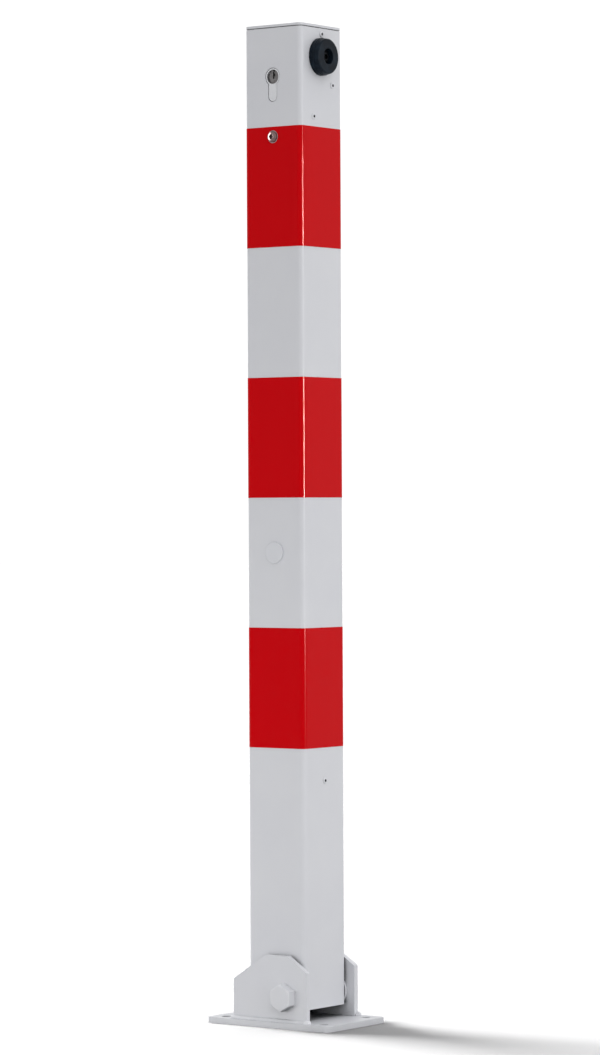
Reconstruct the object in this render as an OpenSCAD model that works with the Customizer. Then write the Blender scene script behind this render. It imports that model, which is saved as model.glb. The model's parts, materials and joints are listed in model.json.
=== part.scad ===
// Fold-down parking bollard.
// A striped square steel post stands between two ears on a bolted base plate and
// folds about a through bolt. A key cylinder near the top works a long rod inside
// the post, whose lower end drops into a keeper on the plate and holds the post up.
// Millimetres. The origin is the centre of the base plate's underside, +Z is up,
// the post folds down towards +X, and the pivot bolt lies along Y.

/* [Post] */
// Outside width of the square tube
post_w = 70; // [64:1:90]
// Wall thickness of the square tube
post_wall = 3; // [2:0.5:4]
// Outside corner radius of the square tube
post_r = 5; // [4.5:0.5:8]
// Height of the top of the cap above the ground
post_height = 1000; // [900:10:1200]
// Gap between the base plate and the lower end of the tube
post_lift = 12; // [9:0.5:15]
// How far the post's axis lies in front of the base plate's centre
post_x = 2; // [0:0.5:4]

/* [Stripes] */
// Height of each red band
band_h = 120; // [80:5:140]
// Distance from the top of the post to the top of the first band
band_first = 102; // [95:1:120]
// White gap between two bands
band_gap = 130; // [90:5:150]
// Thickness of the red reflective film
film_t = 0.25; // [0.2:0.05:0.5]

/* [Cap] */
// Thickness of the cap's top plate
cap_t = 2.5; // [2:0.5:5]
// Shadow gap between the cap plate and the tube's end
cap_seam = 0.8; // [0.3:0.1:1.5]
// Depth of the cap's skirt inside the tube
cap_skirt = 14; // [12:1:20]
// Wall of the cap's skirt
cap_skirt_t = 2.5; // [1.5:0.5:3]
// Distance from the top of the post to the cap's rivet
cap_rivet_down = 9; // [8:0.5:11]

/* [Base plate] */
// Length of the plate in the folding direction
plate_l = 150; // [140:5:200]
// Width of the plate along the pivot
plate_w = 100; // [96:2:160]
// Thickness of the plate
plate_t = 6; // [5:1:10]
// Corner radius of the plate
plate_r = 5; // [3:1:14]
// Diameter of the four anchor holes
anchor_d = 10; // [9:1:14]
// Distance from the plate's end to an anchor hole's centre
anchor_in_x = 15; // [12:1:18]
// Distance from the plate's side to an anchor hole's centre
anchor_in_y = 14; // [12:1:20]

/* [Ears] */
// Thickness of an ear
ear_t = 6; // [4:1:8]
// Length of an ear along the plate
ear_l = 90; // [86:1:100]
// Height of an ear's crown above the plate
ear_h = 66; // [60:0.5:75]
// Length of the flat crown
ear_crown = 27.5; // [24:0.5:34]
// How far the crown's middle lies behind the pivot
ear_crown_back = 11; // [4:0.5:12]
// Slope of the two sloping edges, in degrees
ear_slope = 33.5; // [26:0.5:38]
// Radius of an ear's corners
ear_r = 2; // [1:0.5:4]
// Gap between an ear and the post
ear_gap = 3; // [2:0.5:5]
// Diameter of the relief hole in the plate at each end of an ear's inner foot
relief_d = 2; // [1:0.5:3]
// Distance from the ear's end to that hole
relief_in = 4; // [3:0.5:8]

/* [Pivot] */
// Height of the pivot above the base plate
pivot_rise = 25; // [23:0.5:28]
// Distance from the pivot to the face that the post lies down on
pivot_edge = 18; // [15:0.5:18.5]
// Diameter of the pivot bolt
pivot_d = 16; // [12:1:16]
// Chamfer at the end of its thread
pivot_chamfer = 1; // [0.5:0.5:2]
// Width across flats of the bolt's head and nut
pivot_af = 24; // [22:1:27]
// Height of the bolt's head
pivot_head_h = 10; // [7:1:12]
// Height of the nut
pivot_nut_h = 13; // [10:1:16]
// Length of thread that shows beyond the nut
pivot_end = 4; // [2:1:8]
// Diameter of the washer under the nut
nut_washer_d = 30; // [28:1:36]
// Thickness of the washer under the nut
nut_washer_t = 3; // [1.5:0.5:4]
// Diameter of the spacers between the post and the ears
spacer_d = 34; // [26:1:36]
// Outside diameter of the sleeve that is welded inside the post
sleeve_d = 22; // [20:0.5:22]

/* [Keeper] */
// Length of the keeper block in the folding direction
keeper_l = 32; // [28:1:36]
// Width of the keeper block
keeper_w = 52; // [40:2:60]
// How far the keeper stands out behind the post
keeper_out = 1; // [0:0.5:6]
// Thickness of the guide plate that is welded into the foot of the post
foot_t = 8; // [5:1:12]
// Distance from the tube's lower end to the guide plate
foot_up = 3.5; // [2:0.5:6]
// Length of the foot guide plate, from the tube's rear wall
foot_l = 30; // [26:1:32]

/* [Key cylinder] */
// Distance from the top of the post to the cylinder's axis
lock_down = 52; // [50:1:60]
// Diameter of the cylinder's round part
cyl_d = 17; // [16:0.5:18]
// Height of the whole profile
cyl_h = 33; // [31:0.5:34]
// Width of the profile's tail
cyl_tail = 10; // [9:0.5:11]
// Gap round the profile in the post's wall
cyl_gap = 0.5; // [0.3:0.1:1]
// How far the cylinder's face lies inside the post's face
cyl_recess = 0.4; // [0:0.2:2]
// Length of the housing behind the middle of the cam
cyl_back = 9.5; // [8:0.5:12]
// Diameter of the turning plug
plug_d = 14; // [13:0.5:14.5]
// How far the plug's face lies inside the housing's face
plug_recess = 2; // [0.5:0.5:3]
// Height of the keyway
key_h = 9; // [7:0.5:9.5]
// Width of the keyway
key_w = 2.2; // [1.6:0.2:2.6]
// Depth of the keyway
key_depth = 24; // [20:1:27]
// Thickness of the cam
cam_t = 9.4; // [8:0.2:10]
// Width of the cam's nose
cam_nose = 7; // [6:0.5:8]
// Reach of the cam's nose from the cylinder's axis
cam_reach = 15.3; // [15:0.1:16]
// Angle that the key turns, in degrees
cam_turn = 90; // [80:5:90]
// Diameter of the screw that holds the cylinder
cyl_screw_d = 5; // [4:1:5]
// Distance from the cylinder's axis to that screw
cyl_screw_down = 20; // [19.5:0.5:20.5]

/* [Locking rod] */
// Diameter of the rod
rod_d = 12; // [10:0.5:12]
// Distance from the tube's lower end to the raised rod's tip
rod_tip_up = 2; // [1:0.5:3]
// Thickness of the slide bar
slide_t = 4; // [3:0.5:5]
// Gap between the slide bar and the cylinder
slide_gap = 1; // [0.8:0.1:2]
// Depth of the fork that holds the slide bar
fork_depth = 20; // [16:1:24]
// Distance from the cylinder's axis to the top of the rod
fork_down = 35; // [32:1:40]
// Diameter of the pin through the fork
fork_pin_d = 4; // [3:0.5:5]

/* [Brackets] */
// Sheet thickness of the lock carrier and of the rod guide
sheet_t = 2.5; // [2:0.5:3]
// Height of the carrier's flange on the folding side's wall
flange_h = 54; // [46:1:56]
// Distance from a rivet's centre to the edge of its sheet
rivet_edge = 11; // [8:1:13]
// Distance from the middle of the post to the upper rivet of the carrier
rivet_out = 18; // [14:1:20]
// Distance from the lowest band down to the rod guide's rivet
guide_down = 33; // [15:1:60]
// Distance from that rivet down to the guide's shelf
guide_drop = 15; // [12:1:24]
// Width of the rod guide
guide_w = 26; // [20:1:36]
// Distance from the top of the post to the carrier's screw
carrier_screw_down = 112; // [110:1:118]
// Diameter of the carrier's button-head screw
carrier_screw_d = 6; // [5:1:6]
// Diameter of that screw's head
carrier_head_d = 11.5; // [10:0.5:13]
// Height of that screw's head
carrier_head_h = 3.3; // [2.5:0.1:4]

/* [Buffer] */
// Distance from the top of the post to the buffer's centre
buffer_down = 32; // [31:0.5:38]
// Distance from the middle of the post to the buffer's centre, towards the key side
buffer_side = 2.5; // [0:0.5:3]
// Diameter of the buffer at the post
buffer_d = 37.5; // [34:0.5:40]
// Diameter of the buffer's front face
buffer_front_d = 35.5; // [30:0.5:37]
// How far the buffer stands out
buffer_h = 10.5; // [10:0.5:12]
// Height of the groove round the buffer's side above the post's face
buffer_groove = 6; // [5:0.5:8]
// Depth of that groove
buffer_groove_d = 0.7; // [0.4:0.1:1.5]
// Diameter of the recess in the buffer
buffer_recess_d = 16; // [15:0.5:20]
// Depth of the recess
buffer_recess = 8; // [7:0.5:8.5]
// Diameter of the buffer's screw
buffer_screw_d = 8; // [6:1:8]

/* [Access plug] */
// Distance from the lowest band up to the access plug's centre
plug_up = 75; // [20:1:76]
// Diameter of the plug's head
plug_head_d = 21.5; // [18:0.5:26]
// How far the plug's head stands out
plug_head_h = 2; // [1:0.5:4]
// Diameter of the hole it closes
plug_hole_d = 16; // [12:1:17]

/* [Rivets] */
// Diameter of a blind rivet's shank
rivet_d = 4; // [3:0.5:4.8]
// Diameter of a blind rivet's head
rivet_head_d = 6.4; // [6:0.2:9]

/* [Hidden] */
$fn = 72;
white = "#dcdce0";
red = "#c4121a";
black = "#22262c";
zinc = "#b9bcc0";
nickel = "#c9c7c0";
// Radial clearances: a turning or sliding fit, and a loose fit round a fastener
fit = 0.05;
loose = 0.1;
// Extra length that carries a cut through a face
cut = 1;
// Play between the cam's nose and the walls of its notch
notch_play = 0.8;
notch_gap = 0.6;
// Tube, seen from the ground up
tube_bottom = plate_t + post_lift;
tube_top = post_height - cap_t - cap_seam;
tube_in = post_w - 2 * post_wall;
// How far the shadow gap under the cap reaches in from the post's faces
seam_in = 1.5;
face = post_w / 2;
inner = tube_in / 2;
inner_r = post_r - post_wall;
skirt_grow = 1;
skirt_r = inner_r + skirt_grow;
// Upper edges of the three bands
band_step = band_h + band_gap;
band_top_top = post_height - band_first;
band_middle_top = band_top_top - band_step;
band_bottom_top = band_middle_top - band_step;
plug_z = band_bottom_top + plug_up;
// Pivot axis, and like everything on the post it is measured from the post's axis
pivot_x = face - pivot_edge;
pivot_z = plate_t + pivot_rise;
ear_in = face + ear_gap;
ear_out = ear_in + ear_t;
pivot_r = pivot_d / 2;
// Key cylinder and cam, whose middle plane is the middle of the post
lock_z = post_height - lock_down;
cyl_r = cyl_d / 2;
// Back wall of the housing, and what the plug stays short of it
cyl_wall = 2;
plug_short = 2.5;
// Gaps between the cam and the bore, and between its nose and the bridge below
cam_gap = 0.2;
nose_gap = 0.5;
cyl_front = -face + cyl_recess;
tail_end = cyl_r + cyl_tail / 2 - cyl_h;
cam_play = 0.4;
cam_slot = cam_t / 2 + cam_play;
cam_tip_r = cam_reach - cam_nose / 2;
cam_rest = cam_turn / 2;
rod_travel = 2 * cam_tip_r * sin(cam_rest);
// Rod and slide bar, one above the other beside the cylinder
rod_x = -(cyl_r + slide_gap + rod_d / 2);
rod_r = rod_d / 2;
keeper_play = 0.5;
keeper_hole_r = rod_r + keeper_play;
rod_tip = 2;
rod_bottom = tube_bottom + rod_tip_up;
rod_top = lock_z - fork_down;
fork_pin_z = rod_top - fork_depth / 2;
fork_play = 0.5;
pin_in = 0.3;
slide_bottom = rod_top - fork_depth + fork_play;
// Lock carrier: web on the key side's wall, flange on the folding side's wall. Its
// rims stand this far beyond the screw, the cylinder, the rod and the rivet
carrier_screw_z = post_height - carrier_screw_down;
screw_rim = 12;
lock_rim = 10;
rod_rim = 3;
rivet_rim = 8;
carrier_bottom = carrier_screw_z - screw_rim;
carrier_top = lock_z + cyl_r + lock_rim;
flange_down = 48;
carrier_flange_top = post_height - flange_down;
carrier_flange_bottom = carrier_flange_top - flange_h;
carrier_back = rod_x - rod_r - rod_rim;
carrier_in = inner - sheet_t;
slide_over = 2;
slide_top = carrier_top + rod_travel + slide_over;
// Inside radius of the sheet's bend
bend_in = 1;
// Tab of the carrier behind the cylinder's tail, with its screw
tab_gap = 3;
tab_rim = 9;
tab_top = lock_z - cyl_r - tab_gap;
tab_bottom = lock_z - cyl_screw_down - tab_rim;
tab_reach = 8;
cyl_head_d = 9;
cyl_head_h = 3;
cyl_screw_in = 1;
// Lug of the carrier round the slide bar's upper end
lug_over = 5;
lug_rim = 3;
// Places of the two rivets in the carrier's flange, as [y, z]
rivet_in = 14;
rivet_low = 10;
carrier_rivet_at = [
    [rivet_out, carrier_flange_top - rivet_edge],
    [-rivet_in, carrier_flange_bottom + rivet_low]];
carrier_nut_af = 10;
carrier_nut_h = 5;
// Buffer and its fixings, from the post's face outwards
buffer_z = post_height - buffer_down;
buffer_y = -buffer_side;
buffer_floor = face + buffer_h - buffer_recess;
buffer_washer_t = 1.6;
buffer_edge = 1.5;
buffer_head_d = 14;
buffer_head_h = 3.6;
buffer_nut_af = 13;
buffer_nut_h = 6.5;
buffer_socket = 5.8;
buffer_washer_gap = 0.3;
// Length of thread beyond a small nut, and the socket of the carrier's screw
thread_over = 1;
carrier_socket = 5.2;
// Gap between the red film and the head of the carrier's screw
film_gap = 0.6;
// Rod guide
guide_z = band_bottom_top - band_h - guide_down;
guide_shelf_z = guide_z - guide_drop;
guide_top = guide_z + rivet_edge;
shelf_rim = 4;
// Stub of the access plug in its hole
plug_stub = 3;
plug_wall = 1.5;
plug_bevel = 0.5;
// Radius of the keeper block's corners
keeper_r = 2;
// Shares of a head's height: the straight rim of a dome, the sides of a hexagon below
// its chamfer, and the floors of the two hexagon sockets and of a rivet's eye
dome_rim = 0.25;
hex_side = 0.8;
buffer_socket_floor = 0.3;
carrier_socket_floor = 0.25;
rivet_eye_floor = 0.4;
// Share of its flats that a hexagon's top face keeps
hex_top = 0.97;
// Rivets
rivet_r = rivet_d / 2;
rivet_head_h = 1.2;
rivet_bulb = 0.9;
rivet_bulb_r = rivet_r + rivet_bulb;
rivet_bulb_l = 4;
rivet_eye_r = 1.1;
cap_rivet_z = post_height - cap_rivet_down;

// Outlines

// Rectangle with round corners, centred
module round_rect(l, w, r) {
    square([l - 2 * r, w], center = true);
    square([l, w - 2 * r], center = true);
    for (sx = [-1, 1], sy = [-1, 1])
        translate([sx * (l / 2 - r), sy * (w / 2 - r)])
            circle(r = r);
}

function unit(v) = v / norm(v);

// Arc of radius r that rounds the corner b between its neighbours a and c
function corner_arc(a, b, c, r, steps = 6) =
    let (u = unit(a - b))
    let (v = unit(c - b))
    let (half = acos(u * v) / 2)
    let (middle = b + unit(u + v) * r / sin(half))
    let (start = b + u * r / tan(half) - middle)
    let (stop = b + v * r / tan(half) - middle)
    [for (i = [0 : steps]) middle + r * unit(start * (1 - i / steps) + stop * i / steps)];

// Convex outline with every corner rounded
function rounded(points, r) =
    let (n = len(points))
    [for (i = [0 : n - 1])
        each corner_arc(points[(i + n - 1) % n], points[i], points[(i + 1) % n], r)];

// Profile of the key cylinder, a circle with a round-ended tail below it
module cylinder_profile(grow) {
    circle(r = cyl_r + grow);
    translate([-cyl_tail / 2 - grow, tail_end])
        square([cyl_tail + 2 * grow, -tail_end]);
    translate([0, tail_end])
        circle(r = cyl_tail / 2 + grow);
}

// Directions

// Moves what is drawn round the post's axis to its place on the base plate
module at_post() {
    translate([post_x, 0, 0])
        children();
}

// Outline drawn in x and z, carried along Y from y0 to y1
module along_y(y0, y1) {
    translate([0, y1, 0])
        rotate([90, 0, 0])
            linear_extrude(y1 - y0)
                children();
}

// Round bar or hole along Y
module rod_y(x, z, r, y0, y1) {
    translate([x, y1, z])
        rotate([90, 0, 0])
            cylinder(r = r, h = y1 - y0);
}

// Round bar or hole along X
module rod_x_dir(y, z, r, x0, x1) {
    translate([x0, y, z])
        rotate([0, 90, 0])
            cylinder(r = r, h = x1 - x0);
}

// Fasteners, each standing on z = 0 with its head upwards

// Hexagon with its upper corners turned off, corners on the Y axis
module hex_head(af, h) {
    reach = af / 2 / cos(30);
    intersection() {
        rotate(30)
            cylinder(r = reach, h = h, $fn = 6);
        rotate_extrude()
            polygon([[0, 0], [reach, 0], [reach, h * hex_side], [af / 2 * hex_top, h], [0, h]]);
    }
}

// Domed round head
module dome_head(d, h, steps = 6) {
    rim = h * dome_rim;
    rotate_extrude()
        polygon(concat(
            [[0, 0]],
            [for (i = [0 : steps]) [d / 2 * cos(90 * i / steps), rim + (h - rim) * sin(90 * i / steps)]],
            [[0, h]]));
    cylinder(d = d, h = rim);
}

// Blind rivet, its head above z = 0 and the set end below the gripped sheets
module blind_rivet(grip) {
    difference() {
        union() {
            dome_head(rivet_head_d, rivet_head_h);
            translate([0, 0, -grip])
                cylinder(r = rivet_r, h = grip);
            translate([0, 0, -grip - rivet_bulb_l])
                cylinder(r = rivet_bulb_r, h = rivet_bulb_l);
        }
        translate([0, 0, rivet_head_h * rivet_eye_floor])
            cylinder(r = rivet_eye_r, h = rivet_head_h);
    }
}

// Places children on the folding side's face, turned to stand out of it
module on_folding_face(y, z) {
    translate([face, y, z])
        rotate([0, 90, 0])
            children();
}

// Base

module base_plate() {
    color(white)
        difference() {
            linear_extrude(plate_t)
                round_rect(plate_l, plate_w, plate_r);
            for (sx = [-1, 1], sy = [-1, 1])
                translate([sx * (plate_l / 2 - anchor_in_x), sy * (plate_w / 2 - anchor_in_y), -cut])
                    cylinder(d = anchor_d, h = plate_t + 2 * cut);
            translate([post_x + rod_x, 0, -cut])
                cylinder(r = keeper_hole_r, h = plate_t + 2 * cut);
            for (sx = [-1, 1], sy = [-1, 1])
                translate([sx * (ear_l / 2 - relief_in), sy * ear_in, plate_t / 2])
                    cylinder(d = relief_d, h = plate_t);
        }
}

// Ear: a plate with a flat crown above the pivot and a long slope behind it
module ear(y0) {
    crown_x = post_x + pivot_x - ear_crown_back;
    crown_z = plate_t + ear_h;
    back_drop = (ear_l / 2 + crown_x - ear_crown / 2) * tan(ear_slope);
    front_drop = (ear_l / 2 - crown_x - ear_crown / 2) * tan(ear_slope);
    outline = [
        [-ear_l / 2, plate_t],
        [ear_l / 2, plate_t],
        [ear_l / 2, crown_z - front_drop],
        [crown_x + ear_crown / 2, crown_z],
        [crown_x - ear_crown / 2, crown_z],
        [-ear_l / 2, crown_z - back_drop]
    ];
    color(white)
        difference() {
            union() {
                along_y(y0, y0 + ear_t)
                    polygon(rounded(outline, ear_r));
                translate([-ear_l / 2, y0, plate_t])
                    cube([ear_l, ear_t, ear_r]);
            }
            rod_y(post_x + pivot_x, pivot_z, pivot_r + loose, y0 - cut, y0 + ear_t + cut);
        }
}

module ear_key_side() {
    ear(-ear_out);
}

module ear_far_side() {
    ear(ear_in);
}

// Block under the rear of the tube: the post's upright stop and the rod's keeper
module keeper_block() {
    color(white)
        difference() {
            translate([-face - keeper_out + keeper_l / 2, 0, plate_t])
                linear_extrude(post_lift)
                    round_rect(keeper_l, keeper_w, keeper_r);
            translate([rod_x, 0, plate_t - cut])
                cylinder(r = keeper_hole_r, h = post_lift + 2 * cut);
        }
}

// Pivot

module pivot_bolt() {
    end = ear_out + nut_washer_t + pivot_nut_h + pivot_end;
    color(white)
        union() {
            translate([pivot_x, -ear_out, pivot_z])
                rotate([90, 0, 0])
                    hex_head(pivot_af, pivot_head_h);
            rod_y(pivot_x, pivot_z, pivot_r, -ear_out, end - pivot_chamfer);
            translate([pivot_x, end - pivot_chamfer, pivot_z])
                rotate([-90, 0, 0])
                    cylinder(r1 = pivot_r, r2 = pivot_r - pivot_chamfer, h = pivot_chamfer);
        }
}

module nut_washer() {
    color(zinc)
        difference() {
            rod_y(pivot_x, pivot_z, nut_washer_d / 2, ear_out, ear_out + nut_washer_t);
            rod_y(pivot_x, pivot_z, pivot_r + loose, ear_out - cut, ear_out + nut_washer_t + cut);
        }
}

module pivot_nut() {
    seat = ear_out + nut_washer_t;
    color(zinc)
        difference() {
            translate([pivot_x, seat, pivot_z])
                rotate([-90, 0, 0])
                    hex_head(pivot_af, pivot_nut_h);
            rod_y(pivot_x, pivot_z, pivot_r + fit, seat - cut, seat + pivot_nut_h + cut);
        }
}

module spacer(y0) {
    color(white)
        difference() {
            rod_y(pivot_x, pivot_z, spacer_d / 2, y0, y0 + ear_gap);
            rod_y(pivot_x, pivot_z, pivot_r + loose, y0 - cut, y0 + ear_gap + cut);
        }
}

module spacer_key_side() {
    spacer(-ear_in);
}

module spacer_far_side() {
    spacer(face);
}

// Sleeve between the tube's side walls, on which the post turns
module pivot_sleeve() {
    color(zinc)
        difference() {
            rod_y(pivot_x, pivot_z, sleeve_d / 2, -inner, inner);
            rod_y(pivot_x, pivot_z, pivot_r + fit, -inner - cut, inner + cut);
        }
}

// Post

module post_tube() {
    color(white)
        difference() {
            translate([0, 0, tube_bottom])
                linear_extrude(tube_top - tube_bottom)
                    difference() {
                        round_rect(post_w, post_w, post_r);
                        round_rect(tube_in, tube_in, inner_r);
                    }
            rod_y(pivot_x, pivot_z, pivot_r + fit, -face - cut, face + cut);
            translate([0, 0, lock_z])
                along_y(-face - cut, -inner + cut)
                    cylinder_profile(cyl_gap);
            rod_y(0, carrier_screw_z, carrier_screw_d / 2 + loose, -face - cut, -inner + cut);
            rod_y(0, plug_z, plug_hole_d / 2, -face - cut, -inner + cut);
            rod_x_dir(buffer_y, buffer_z, buffer_screw_d / 2 + loose, inner - cut, face + cut);
            for (at = carrier_rivet_at)
                rod_x_dir(at[0], at[1], rivet_r + loose, inner - cut, face + cut);
            rod_x_dir(0, cap_rivet_z, rivet_r + loose, inner - cut, face + cut);
            rod_x_dir(0, guide_z, rivet_r + loose, inner - cut, face + cut);
        }
}

// Plate across the rear half of the tube's foot that guides the rod
module foot_guide() {
    color(zinc)
        difference() {
            translate([-inner + foot_l / 2, 0, tube_bottom + foot_up])
                linear_extrude(foot_t)
                    round_rect(foot_l, tube_in, skirt_r);
            translate([rod_x, 0, tube_bottom])
                cylinder(r = rod_r + fit, h = foot_up + foot_t + cut);
        }
}

// Flat plate over the tube with a skirt that fits inside it
module top_cap() {
    skirt_w = tube_in - 2 * loose;
    skirt_z = tube_top - cap_skirt;
    color(white)
        difference() {
            union() {
                translate([0, 0, post_height - cap_t])
                    linear_extrude(cap_t)
                        round_rect(post_w, post_w, post_r);
                translate([0, 0, tube_top])
                    linear_extrude(cap_seam)
                        round_rect(post_w - 2 * seam_in, post_w - 2 * seam_in, post_r - seam_in);
                translate([0, 0, skirt_z])
                    linear_extrude(cap_skirt)
                        round_rect(skirt_w, skirt_w, skirt_r);
            }
            translate([0, 0, skirt_z - cut])
                linear_extrude(cap_skirt + cut)
                    round_rect(skirt_w - 2 * cap_skirt_t, skirt_w - 2 * cap_skirt_t, inner_r);
            rod_x_dir(0, cap_rivet_z, rivet_r + loose, inner - cap_skirt_t - cut, face);
        }
}

module cap_rivet() {
    color(white)
        on_folding_face(0, cap_rivet_z)
            blind_rivet(post_wall + loose + cap_skirt_t);
}

// One wrap of film round the post, its upper edge at the height top
module band(top) {
    gap = fit;
    outer = post_w + 2 * (gap + film_t);
    color(red)
        difference() {
            translate([0, 0, top - band_h])
                linear_extrude(band_h)
                    difference() {
                        round_rect(outer, outer, post_r + gap + film_t);
                        round_rect(post_w + 2 * gap, post_w + 2 * gap, post_r + gap);
                    }
            rod_y(0, carrier_screw_z, carrier_head_d / 2 + film_gap, -face - cut, -face + cut);
        }
}

module band_top() {
    band(band_top_top);
}

module band_middle() {
    band(band_middle_top);
}

module band_bottom() {
    band(band_bottom_top);
}

// Buffer

// Round rubber stop with a deep recess for its screw
module rubber_buffer() {
    r0 = buffer_d / 2;
    r1 = buffer_front_d / 2;
    groove_w = 2 * buffer_groove_d;
    color(black)
        difference() {
            on_folding_face(buffer_y, buffer_z)
                rotate_extrude()
                    polygon(concat(
                        [[0, 0], [r0, 0], [r0, buffer_groove - groove_w]],
                        [[r0 - buffer_groove_d, buffer_groove - groove_w / 2]],
                        [[r1 + (r0 - r1) / 2, buffer_groove]],
                        [for (a = [0 : 15 : 90])
                            [r1 - buffer_edge * (1 - cos(a)), buffer_h - buffer_edge * (1 - sin(a))]],
                        [[0, buffer_h]]));
            rod_x_dir(buffer_y, buffer_z, buffer_recess_d / 2, buffer_floor, face + buffer_h + cut);
            rod_x_dir(buffer_y, buffer_z, buffer_screw_d / 2 + loose, face - cut, buffer_floor + cut);
        }
}

module buffer_washer() {
    washer_r = buffer_recess_d / 2 - buffer_washer_gap;
    color(black)
        difference() {
            rod_x_dir(buffer_y, buffer_z, washer_r, buffer_floor, buffer_floor + buffer_washer_t);
            rod_x_dir(buffer_y, buffer_z, buffer_screw_d / 2 + loose,
                buffer_floor - cut, buffer_floor + buffer_washer_t + cut);
        }
}

// Button head with a hexagon socket, its shank through the wall into the nut
module buffer_screw() {
    seat = buffer_floor + buffer_washer_t;
    color(black)
        difference() {
            union() {
                translate([seat, buffer_y, buffer_z])
                    rotate([0, 90, 0])
                        dome_head(buffer_head_d, buffer_head_h);
                rod_x_dir(buffer_y, buffer_z, buffer_screw_d / 2, inner - buffer_nut_h - thread_over, seat);
            }
            translate([seat + buffer_head_h * buffer_socket_floor, buffer_y, buffer_z])
                rotate([0, 90, 0])
                    cylinder(d = buffer_socket, h = buffer_head_h, $fn = 6);
        }
}

module buffer_nut() {
    color(zinc)
        difference() {
            translate([inner, buffer_y, buffer_z])
                rotate([0, -90, 0])
                    hex_head(buffer_nut_af, buffer_nut_h);
            rod_x_dir(buffer_y, buffer_z, buffer_screw_d / 2 + fit,
                inner - buffer_nut_h - cut, inner + cut);
        }
}

// Lock

// Folded sheet in the post's corner that carries the cylinder and guides the slide bar
module lock_carrier() {
    web_h = carrier_top - carrier_bottom;
    bend_r = sheet_t + bend_in;
    lug_l = inner + slide_t / 2 + lug_over;
    lug_w = rod_d + 2 * lug_rim;
    color(zinc)
        difference() {
            union() {
                translate([carrier_back, -inner, carrier_bottom])
                    cube([inner - bend_r - carrier_back, sheet_t, web_h]);
                translate([carrier_in, -inner + bend_r, carrier_flange_bottom])
                    cube([sheet_t, inner - bend_r + rivet_out + rivet_rim, flange_h]);
                translate([inner - bend_r, -inner + bend_r, carrier_flange_bottom])
                    rotate(-90)
                        rotate_extrude(angle = 90)
                            translate([bend_r - sheet_t, 0])
                                square([sheet_t, flange_h]);
                translate([cyl_tail / 2, -inner, tab_bottom])
                    cube([sheet_t, inner + tab_reach, tab_top - tab_bottom]);
                translate([rod_x - lug_w / 2, -inner, carrier_top - sheet_t])
                    cube([lug_w, lug_l, sheet_t]);
            }
            translate([0, 0, lock_z])
                along_y(-inner - cut, -inner + sheet_t + cut)
                    cylinder_profile(cyl_gap);
            translate([rod_x - rod_d / 2 - loose, -slide_t / 2 - loose, carrier_top - sheet_t - cut])
                cube([rod_d + 2 * loose, slide_t + 2 * loose, sheet_t + 2 * cut]);
            rod_y(0, carrier_screw_z, carrier_screw_d / 2 + loose, -inner - cut, -carrier_in + cut);
            rod_x_dir(0, lock_z - cyl_screw_down, cyl_screw_d / 2 + loose,
                cyl_tail / 2 - cut, cyl_tail / 2 + sheet_t + cut);
            for (at = carrier_rivet_at)
                rod_x_dir(at[0], at[1], rivet_r + loose, carrier_in - cut, inner + cut);
        }
}

module carrier_rivets() {
    color(white)
        for (at = carrier_rivet_at)
            on_folding_face(at[0], at[1])
                blind_rivet(post_wall + sheet_t);
}

// Button-head screw with a hexagon socket, in a hole in the top band
module carrier_screw() {
    color(zinc)
        difference() {
            union() {
                translate([0, -face, carrier_screw_z])
                    rotate([90, 0, 0])
                        dome_head(carrier_head_d, carrier_head_h);
                rod_y(0, carrier_screw_z, carrier_screw_d / 2,
                    -face, -carrier_in + carrier_nut_h + thread_over);
            }
            translate([0, -face - carrier_head_h * carrier_socket_floor, carrier_screw_z])
                rotate([90, 0, 0])
                    cylinder(d = carrier_socket, h = carrier_head_h, $fn = 6);
        }
}

module carrier_nut() {
    color(zinc)
        difference() {
            translate([0, -carrier_in, carrier_screw_z])
                rotate([-90, 0, 0])
                    hex_head(carrier_nut_af, carrier_nut_h);
            rod_y(0, carrier_screw_z, carrier_screw_d / 2 + fit,
                -carrier_in - cut, -carrier_in + carrier_nut_h + cut);
        }
}

// Half profile cylinder: the plug's bore, the gap in which the cam turns, and the
// bridge below it with the thread of the holding screw
module lock_housing() {
    color(nickel)
        translate([0, 0, lock_z])
            difference() {
                along_y(cyl_front, cyl_back)
                    cylinder_profile(0);
                rod_y(0, 0, plug_d / 2 + fit, cyl_front - cut, cyl_back - cyl_wall);
                translate([-cyl_d, -cam_slot, -cam_reach - nose_gap])
                    cube([2 * cyl_d, 2 * cam_slot, 2 * cyl_d]);
                rod_x_dir(0, -cyl_screw_down, cyl_screw_d / 2 + fit, -cyl_d, cyl_d);
            }
}

// Stepped keyway, upright when the key goes in
module keyway() {
    w = key_w / 2;
    h = key_h;
    translate([0, plug_d / 2 - h])
        polygon([[-w, 0], [w * 0.4, 0], [w * 0.4, h * 0.25], [w, h * 0.32], [w, h * 0.55],
            [w * 0.4, h * 0.62], [w * 0.4, h * 0.8], [w, h * 0.86], [w, h + cut], [-w * 0.6, h + cut],
            [-w * 0.4, h * 0.8], [-w, h * 0.72]]);
}

module lock_plug() {
    color(nickel)
        translate([0, 0, lock_z])
            difference() {
                rod_y(0, 0, plug_d / 2, cyl_front + plug_recess, cyl_back - plug_short);
                along_y(cyl_front - cut, cyl_front + key_depth)
                    keyway();
            }
}

// Ring on the plug with one nose, which moves the slide bar
module lock_cam() {
    color(nickel)
        translate([0, 0, lock_z])
            difference() {
                along_y(-cam_t / 2, cam_t / 2)
                    union() {
                        circle(r = cyl_r - cam_gap);
                        rotate(180 - cam_rest) {
                            translate([0, -cam_nose / 2])
                                square([cam_tip_r, cam_nose]);
                            translate([cam_tip_r, 0])
                                circle(d = cam_nose);
                        }
                    }
                rod_y(0, 0, plug_d / 2 + fit, -cam_t, cam_t);
            }
}

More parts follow.
